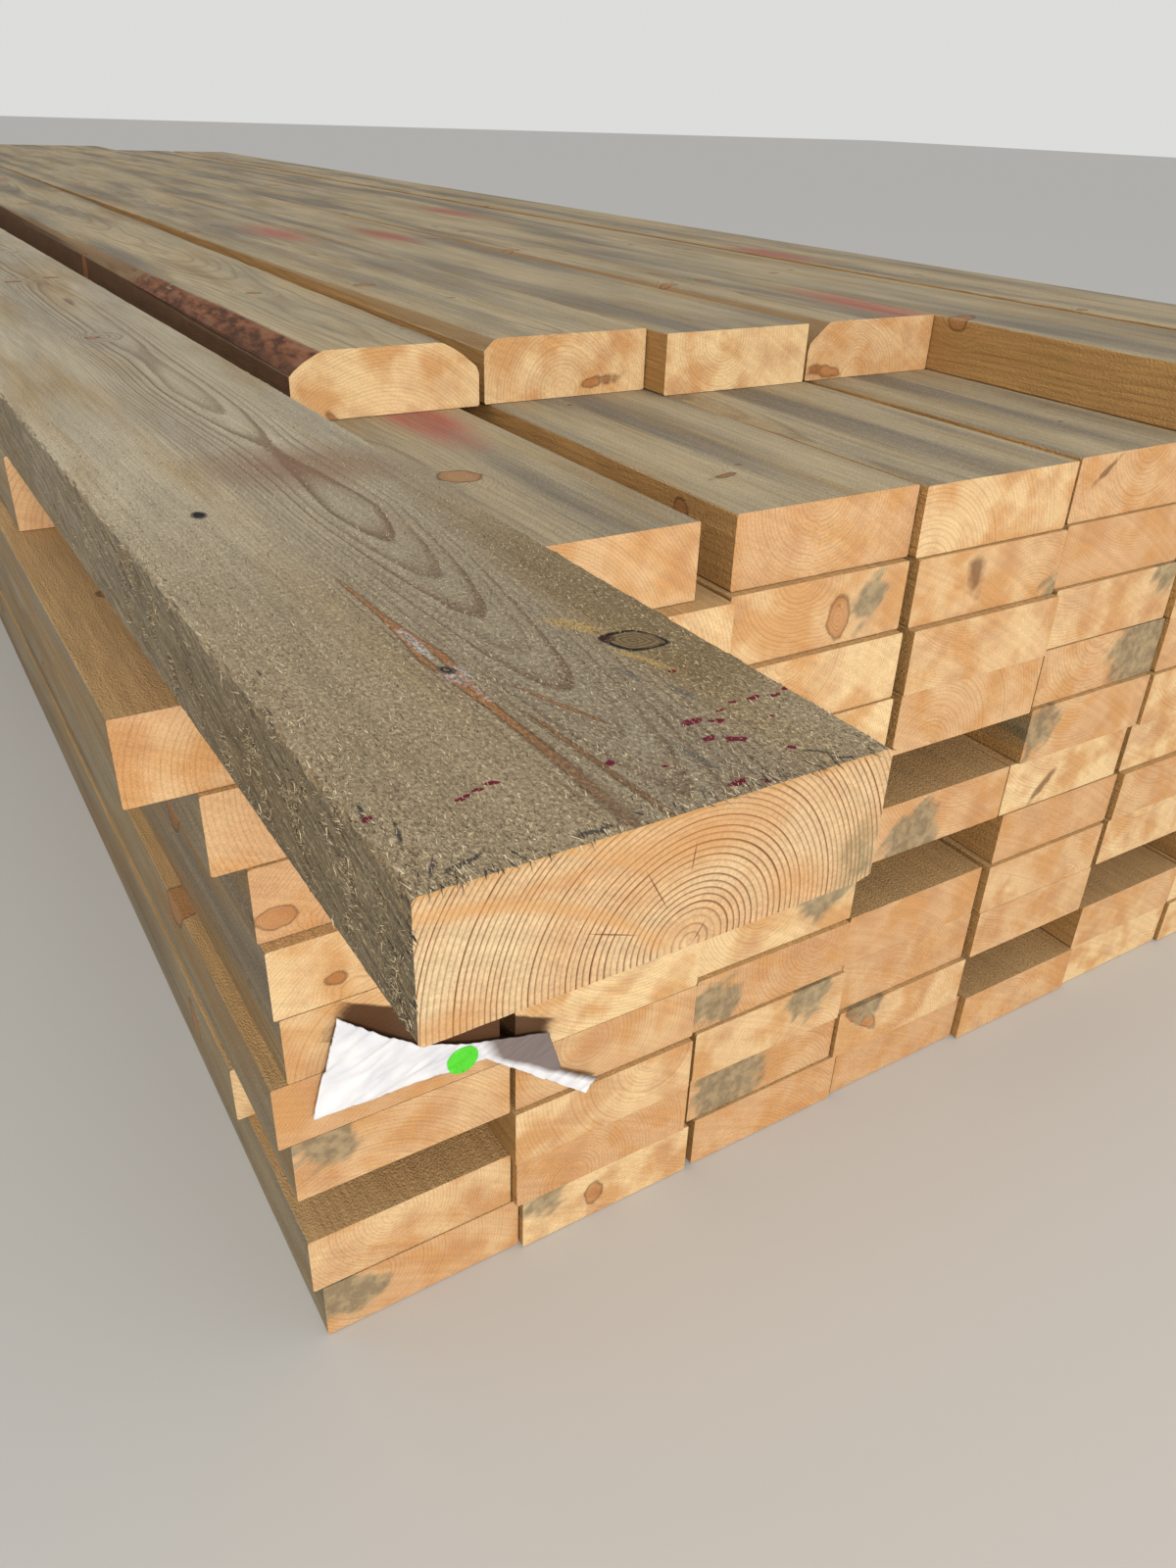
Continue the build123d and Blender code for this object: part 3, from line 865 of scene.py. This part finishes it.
# runs of resin: across at the near end, its change along, first and last place along, half width, and
# whether it parts round the pin knot
resin_runs_mm = [
    (63.2, -0.008, -5.0, 215.0, 2.0, True),
    (74.6, -0.075, -5.0, 84.0, 1.3, False),
    (106.0, -0.36, 48.0, 106.0, 0.9, False),
]
# On its near end: across, up, and then half widths and share of a warm patch, or half length and degrees
# of a crack
warm_patches_mm = [
    (74, 7, 11, 5, 0.35), (119, 9, 12, 9, 0.4), (84, 36, 26, 11, 0.5), (40, 37, 32, 3, 0.35),
    (66, 24, 9, 7, 0.3), (8, 4, 15, 6, 0.45),
]
drying_cracks_mm = [(70.5, 24, 8.5, -62), (57, 14.5, 9, -22), (86, 4.5, 4, 58), (82, 31, 5, 84)]


def drawn_out_features(new, figure, top, end, mottle, clumps, shown, height):
    """What the drawn-out board alone has: resin, two knots, stains, nicks, dashes, saw arcs and cracks."""
    spot, _, across, along, up, _ = (figure[name] for name in WOOD_PLACE)
    shaken = new(V_MULTIPLY_ADD, new(JOIN, mottle, mottle, 0), (2.4, 7, 0), spot)
    shaken = new(V_ADD, shaken, (-1.2, -3.5, 0))

    # a rust-brown stain across the top
    rust = new(RANGE, oval(new, shaken, (104, 356, 0), (50, 40, None), -28), 0.4, 1.2, 0.55, 0)
    shown = on_face(new, rust, top, shown, "8d6449")

    # resin has run along the grain past both sides of a pin knot, and stands on it in pale beads
    shaken_x, shaken_y, _ = new(SPLIT, shaken)
    split_half = new(RANGE, new(ABSOLUTE, new(ADD, along, -118)), 0, 42, 3.4, 0)
    streams = None
    for start_x, lean_x, first_y, last_y, half, parted in resin_runs_mm:
        middle = new(MULTIPLY_ADD, shaken_y, lean_x, start_x)
        off = new(ABSOLUTE, new(SUBTRACT, shaken_x, middle))
        if parted:
            off = new(ABSOLUTE, new(SUBTRACT, off, split_half))
        thin = new(RANGE, new(ADD, along, -first_y), 0, last_y - first_y, 1.15, 0.35)
        off = new(DIVIDE, off, new(MULTIPLY, thin, half))
        after = new(RANGE, along, last_y - 25, last_y, 0, 2)
        outside = new(ADD, after, new(RANGE, along, first_y, first_y + 8, 2, 0))
        off = new(ADD, off, outside)
        streams = off if streams is None else new(MINIMUM, streams, off)
    resin_edge = new(MULTIPLY, new(RANGE, streams, 0.85, 1.5, 1, 0), top)
    resin = new(MULTIPLY, new(RANGE, streams, 0.5, 0.95, 1, 0), top)
    resin_edge = new(MULTIPLY, resin_edge, new(RANGE, along, 0, 60, 0.5, 0.75))
    shown = new(BLEND, resin_edge, shown, "56371a")
    amber = new(BLEND, new(RANGE, along, 5, 75, 0, 1), "744a1f", "a15c14")
    amber = new(BLEND, new(RANGE, clumps, 0.42, 0.62, 0, 0.8), amber, "b88c52")
    shown = new(BLEND, new(MULTIPLY, resin, new(RANGE, along, 0, 70, 0.25, 0.85)), shown, amber)
    between = new(RANGE, oval(new, shaken, (62, 133, 0), (2.4, 16, None)), 0.7, 1, 1, 0)
    around_pin = new(RANGE, oval(new, shaken, (63, 104, 0), (5, 9.5, None)), 0.7, 1.1, 0.8, 0)
    below_pin = new(RANGE, oval(new, shaken, (64, 88, 0), (1.2, 8, None)), 0.7, 1.1, 0.7, 0)
    between = new(MAXIMUM, new(MAXIMUM, between, around_pin), below_pin)
    beads = new(RANGE, clumps, 0.44, 0.6, 0.1, 0.8)
    pale = new(MULTIPLY, new(MULTIPLY, between, beads), top)
    shown = new(BLEND, pale, shown, "d0cdca")
    pin = oval(new, spot, (62.0, 108, 0), (2.3, 3.4, None), 20)
    pin_coil = new(SINE, new(MULTIPLY, pin, 9))
    pin_hole = new(MULTIPLY, new(RANGE, pin, 0.8, 1.15, 1, 0), top)
    pin_colour = new(BLEND, new(RANGE, pin_coil, -0.5, 1, 0, 0.7), "2c2119", "8d7a66")
    shown = new(BLEND, pin_hole, shown, pin_colour)

    # an oval dead knot, pointed at both ends, with a cracked black rim, and torn yellow grain behind it
    torn = new(RANGE, oval(new, shaken, (117, 121, 0), (14, 4.5, None), -61), 0.5, 1.1, 0.8, 0)
    torn = new(MULTIPLY, torn, new(RANGE, clumps, 0.42, 0.58, 0.25, 1))
    below = new(RANGE, oval(new, shaken, (123, 84, 0), (1.6, 14, None), 20), 0.5, 1.3, 0.6, 0)
    torn = new(MAXIMUM, torn, below)
    shown = on_face(new, torn, top, shown, "cfa95c")
    lens = new(LOCAL, spot, (128.8, 100.1, 0), (0, 0, math.radians(-36)), (12.6, 9.4, ENDLESS))
    lens_x, lens_y, _ = new(SPLIT, new(V_ABSOLUTE, lens))
    ring_out = new(MULTIPLY, new(ADD, lens_x, lens_y), 0.5)
    ring_out = new(MULTIPLY_ADD, new(LENGTH, lens), 0.55, ring_out)
    ring_out = new(MULTIPLY_ADD, mottle, 0.36, ring_out)
    inside = new(MULTIPLY, new(RANGE, ring_out, 1.2, 1.3, 1, 0), top)
    rings = new(SINE, new(MULTIPLY, ring_out, 26))
    dead = new(BLEND, new(RANGE, rings, 0, 1, 0, 0.62), "89734f", "33281d")
    rim_from = new(RANGE, mottle, 0.35, 0.65, 0.82, 1.12)
    rim_share = new(RANGE, new(SUBTRACT, ring_out, rim_from), 0.05, 0.12, 0, 0.97)
    dead = new(BLEND, rim_share, dead, "17110d")
    left_tip = new(RANGE, oval(new, shaken, (121, 105.2, 0), (3, 2.4, None)), 0.6, 1.3, 0.95, 0)
    shown = on_face(new, left_tip, top, new(BLEND, inside, shown, dead), "3c0f08")

    # blue-grey smears along the grain
    smears = new(RANGE, nearest_oval(new, shaken, blue_smears_mm), 0.5, 1.5, 0.6, 0)
    shown = on_face(new, smears, top, shown, "4f5455")

    # blue-black nicks along the near arris
    nicks = new(MULTIPLY_ADD, clumps, 1.4, nearest_oval(new, shaken, black_nicks_mm))
    nicks = new(RANGE, nicks, 1.3, 1.9, 0.8, 0)
    shown = on_face(new, nicks, top, shown, "2c2c33")

    # a small dark hole
    hole = new(RANGE, oval(new, shaken, (38, 300, 0), (3.2, 5, None)), 0.6, 1.1, 1, 0)
    shown = on_face(new, hole, top, shown, "1d1915")

    # dark red dashes
    dashed = new(MULTIPLY_ADD, clumps, 0.5, nearest_oval(new, shaken, red_dashes_mm))
    dashed = new(RANGE, dashed, 1.2, 1.5, 1, 0)
    shown = on_face(new, dashed, top, shown, "730b2c")

    # on the end: the cross-cut saw's arcs, drying cracks and stained lower corner
    saw_arc = oval(new, spot, (-10, 0, -75), (1.0, None, 1.0))
    arc_band = new(RANGE, new(ABSOLUTE, new(ADD, saw_arc, -115.5)), 0.6, 3, 0.45, 0)
    arc_field = new(RANGE, saw_arc, 129.5, 131, 0, 1)
    arc_fade = new(RANGE, saw_arc, 131, 142, 0.4, 0)
    arc_left = new(RANGE, across, 60, 84, 1, 0)
    arc_share = new(ADD, new(MULTIPLY, arc_field, arc_fade), arc_band)
    arc_share = new(MULTIPLY, new(MULTIPLY, arc_share, arc_left), end)
    shown = new(BLEND, arc_share, shown, "c48f52")
    fuzzy_edge = new(RANGE, new(MULTIPLY_ADD, mottle, 5, up), 46.6, 48.6, 0, 0.6)
    shown = on_face(new, fuzzy_edge, end, shown, "b98a4c")
    warm = None
    for x, z, half_width, half_height, share in warm_patches_mm:
        gap = oval(new, shaken, (x, 0, z), (half_width, None, half_height))
        gap = new(RANGE, gap, 0.3, 1.3, share, 0)
        warm = gap if warm is None else new(MAXIMUM, warm, gap)
    shown = on_face(new, warm, end, shown, "b77c40")
    corner_stain = new(RANGE, oval(new, shaken, (146, 0, 10), (11, None, 15), 0), 0.4, 1.1, 0.8, 0)
    corner_stain = new(MULTIPLY, corner_stain, new(RANGE, mottle, 0.4, 0.62, 0.25, 1))
    shown = on_face(new, corner_stain, end, shown, "7d7050")
    cracks = None
    for x, z, half_length, degrees in drying_cracks_mm:
        lie = [(x, 0, z), (0, -math.radians(degrees), 0), (half_length, ENDLESS, 0.28)]
        gap = new(LENGTH, new(LOCAL, spot, *lie))
        cracks = gap if cracks is None else new(MINIMUM, cracks, gap)
    cracked = new(RANGE, cracks, 0.6, 1.1, 0.8, 0)
    shown = on_face(new, cracked, end, shown, "6b3f22")

    rough = new(RANGE, new(MAXIMUM, resin, pale), 0.2, 0.8, 0.85, 0.3)
    sunk = new(MULTIPLY, new(ADD, pin_hole, hole), -2)
    height = new(ADD, height, sunk)
    return shown, rough, height


# The boards of each layer

lies = {}
for layer in range(1, LAYERS + 1):
    boxes = separate_boxes(f"boards_layer_{layer:02d}")
    first = 2 if layer == TOP else 1
    for column, (low, high) in enumerate(boxes, first):
        lies[layer, column] = {"corner": low, "size": high - low, "turn": 0.0}
corner, size, turn = drawn_out_lie()
lies[DRAWN_OUT] = {"corner": corner, "size": size, "turn": turn}

boards_tree = sawn_boards_tree()
spruce = sawn_spruce("rough_sawn_spruce")
resinous_spruce = sawn_spruce("rough_sawn_resinous_spruce", drawn_out=True)


def saw(name, places, material=spruce, **values):
    """One piece of the boards at those places."""
    points = board_points({place: lies[place] for place in places})
    return run_tree(name, points, boards_tree, Material=material, **values)


for layer in range(1, TOP):
    places = [place for place in lies if place[0] == layer]
    piece = saw(f"sawn_boards_layer_{layer:02d}", places)
    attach(piece, "root")
    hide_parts(f"boards_layer_{layer:02d}")
for place in [place for place in lies if place[0] == TOP and place != DRAWN_OUT]:
    cells = {"Cells Across": 24, "Cells Up": 8, "Near Sections": 60}
    piece = saw(f"sawn_top_board_{place[1]}", [place], **cells)
    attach(piece, "root")
    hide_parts("boards_layer_12")
piece = saw(
    "sawn_drawn_out_board",
    [DRAWN_OUT],
    resinous_spruce,
    **{
        "Cells Across": 76,
        "Cells Up": 24,
        "Near Sections": 300,
        "Far Sections": 150,
        "Near Length": 0.6,
        "Roughness": 0.5 * MM,
        "Arris": 2.0 * MM,
        "Chip Width": 8 * MM,
        "Chip Height": 2 * MM,
        "Chip Length": 60 * MM,
    },
)
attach(piece, "root")
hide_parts("drawn_out_board")
drawn_out_piece = piece

fuzz_tree = fibre_fuzz_tree()
fibre = torn_fibre("torn_spruce_fibre", dark_share=0.1)
dark_fibre = torn_fibre("damp_spruce_splinters", dark_share=0.3)
coarse = {"Thickness": 0.42 * MM}
tufts = {"Density": 6e4, "Reach": 0.4, "Length": 4.0 * MM, "Lift": 12.0, "Arris_Only": 1.0, "Seed": 5}
splinters = {"Density": 6e5, "Reach": 0.007, "Length": 4.6 * MM, "Lift": 4.0, "Seed": 3}
for name, material, values in (
    ("torn_fibres", fibre, {}),
    ("arris_tufts", fibre, {**tufts, **coarse}),
    ("end_splinters", dark_fibre, {**splinters, **coarse}),
):
    fuzz = run_tree(name, drawn_out_piece.data.copy(), fuzz_tree, Material=material, **values)
    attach(fuzz, "root")


# The paper tag and its sticker

def crumpled_tree():
    """A thin sheet in fine cells that stands off its plane in folds, only towards the near side."""
    sockets = {"Level": ("Int", 5), "Lift": ("Float", 0.0), "Material": ("Material", None)}
    tree, given = new_tree("crumpled_paper", **sockets)
    new = partial(add, tree)
    sheet = new("GeometryNodeMergeByDistance", {"Geometry": given["Geometry"], "Distance": 0.01 * MM})
    sheet = new("GeometryNodeSubdivideMesh", sheet, given["Level"])
    place = new("GeometryNodeInputPosition")
    flat = new(V_MULTIPLY, place, (1, 0, 1))
    # creases that run down to the left, about 20 mm apart, over broad waves of 60 mm
    creases = new(ROTATE, flat, math.radians(24), rotation_type="Y_AXIS")
    creases = new(NOISE, new(V_MULTIPLY, creases, (14, 0, 60)), 1, 2, 0.6)
    creases = new(ABSOLUTE, new(ADD, creases, -0.5))
    waves = new(NOISE, flat, 16, 1)
    out = new(MULTIPLY_ADD, waves, -8 * MM, new(MULTIPLY, creases, -14 * MM))
    out = new(SUBTRACT, out, given["Lift"])
    sheet = new("GeometryNodeSetPosition", sheet, None, None, new(JOIN, 0, out, 0))
    sheet = new("GeometryNodeSetShadeSmooth", sheet, None, True, domain="FACE")
    sheet = new("GeometryNodeSetMaterial", sheet, None, given["Material"])
    new("NodeGroupOutput", sheet, output=ALL)
    return tree


def plain_paper(name):
    """Thin white office paper, crumpled, with a painted shadow that greys it towards the right."""
    material, new = new_material(name)
    place = new("ShaderNodeTexCoord", output="Object")
    object_mm = new(SCALE, place, 1 / MM)
    # the painted shadow starts on a line that leans to the right, 126 mm from the stack's left face
    x, _, z = new(SPLIT, object_mm)
    beside = new(MULTIPLY_ADD, z, 0.35, new(ADD, x, 326))
    painted_shadow = new(RANGE, beside, -6, 4, 0, 1)
    tail = new(MULTIPLY_ADD, x, 0.72, z)
    painted_shadow = new(MULTIPLY, painted_shadow, new(RANGE, tail, -83, -78, 0, 0.96))
    mottle = new(NOISE, object_mm, 0.05, 3)
    shown = new(BLEND, new(RANGE, mottle, 0.35, 0.7, 0, 1), "e2e2e4", "cfd0d6")
    shown = new(BLEND, painted_shadow, shown, "6f615d")
    shader = new("ShaderNodeBsdfPrincipled", {"Base Color": shown, "Roughness": 0.75})
    new("ShaderNodeOutputMaterial", shader, output=ALL)
    return material


paper_tree = crumpled_tree()
white_paper = plain_paper("crumpled_white_paper")
fluorescent_film = even_material("green_sticker_film", "4fcf2a", 0.4)
for name, node, slot, level, lift, finish in (
    ("crumpled_paper_tag", "paper_tag", "tag_paper", 5, 0.0, white_paper),
    ("round_sticker", "tag_sticker", "sticker", 3, 0.4 * MM, fluorescent_film),
):
    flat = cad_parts[node].data.copy()
    piece = run_tree(name, flat, paper_tree, Level=level, Lift=lift, Material=finish)
    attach(piece, "root")
    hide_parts(node)


# Camera, floor and light

camera_data = bpy.data.cameras.new("camera")
camera_data.lens = 26.589
camera_data.sensor_width = 36
camera = link_object("camera", camera_data)
right = Vector((0.85074855, -0.5244871, 0.03376671))
down = Vector((-0.23928943, -0.44374139, -0.8636169))
ahead = Vector((0.46793961, 0.7266408, -0.50301656))
turned = Matrix((right, -down, -ahead)).transposed().to_4x4()
camera_place = Vector((-0.65787, -2.30637, 0.74114))
camera.matrix_world = Matrix.Translation(camera_place) @ turned
bpy.context.scene.camera = camera

floor_mesh = bpy.data.meshes.new("floor")
half = 40.0
corners = [(-half, -half, 0), (half, -half, 0), (half, half, 0), (-half, half, 0)]
floor_mesh.from_pydata(corners, [], [(0, 1, 2, 3)])
floor = link_object("floor", floor_mesh)
floor.location.z = -0.5 * MM
floor_mesh.materials.append(even_material("matt_pale_floor", "c6c4c0", 0.9))

world = bpy.data.worlds.new("studio")
world.use_nodes = True
world.node_tree.nodes["Background"].inputs["Color"].default_value = colour("ededec")
world.node_tree.nodes["Background"].inputs["Strength"].default_value = 0.85
bpy.context.scene.world = world

key_data = bpy.data.lights.new("key", "AREA")
key_data.energy = 220
key_data.size = 1.6
key_data.color = (1.0, 0.95, 0.88)
key = link_object("key", key_data)
key.location = (-1.7, -6.6, 2.3)
key_aim = Vector((0, -1.6, 0.35))
key.rotation_euler = (key_aim - key.location).to_track_quat("-Z", "Y").to_euler()

bpy.context.scene.view_settings.view_transform = "Standard"
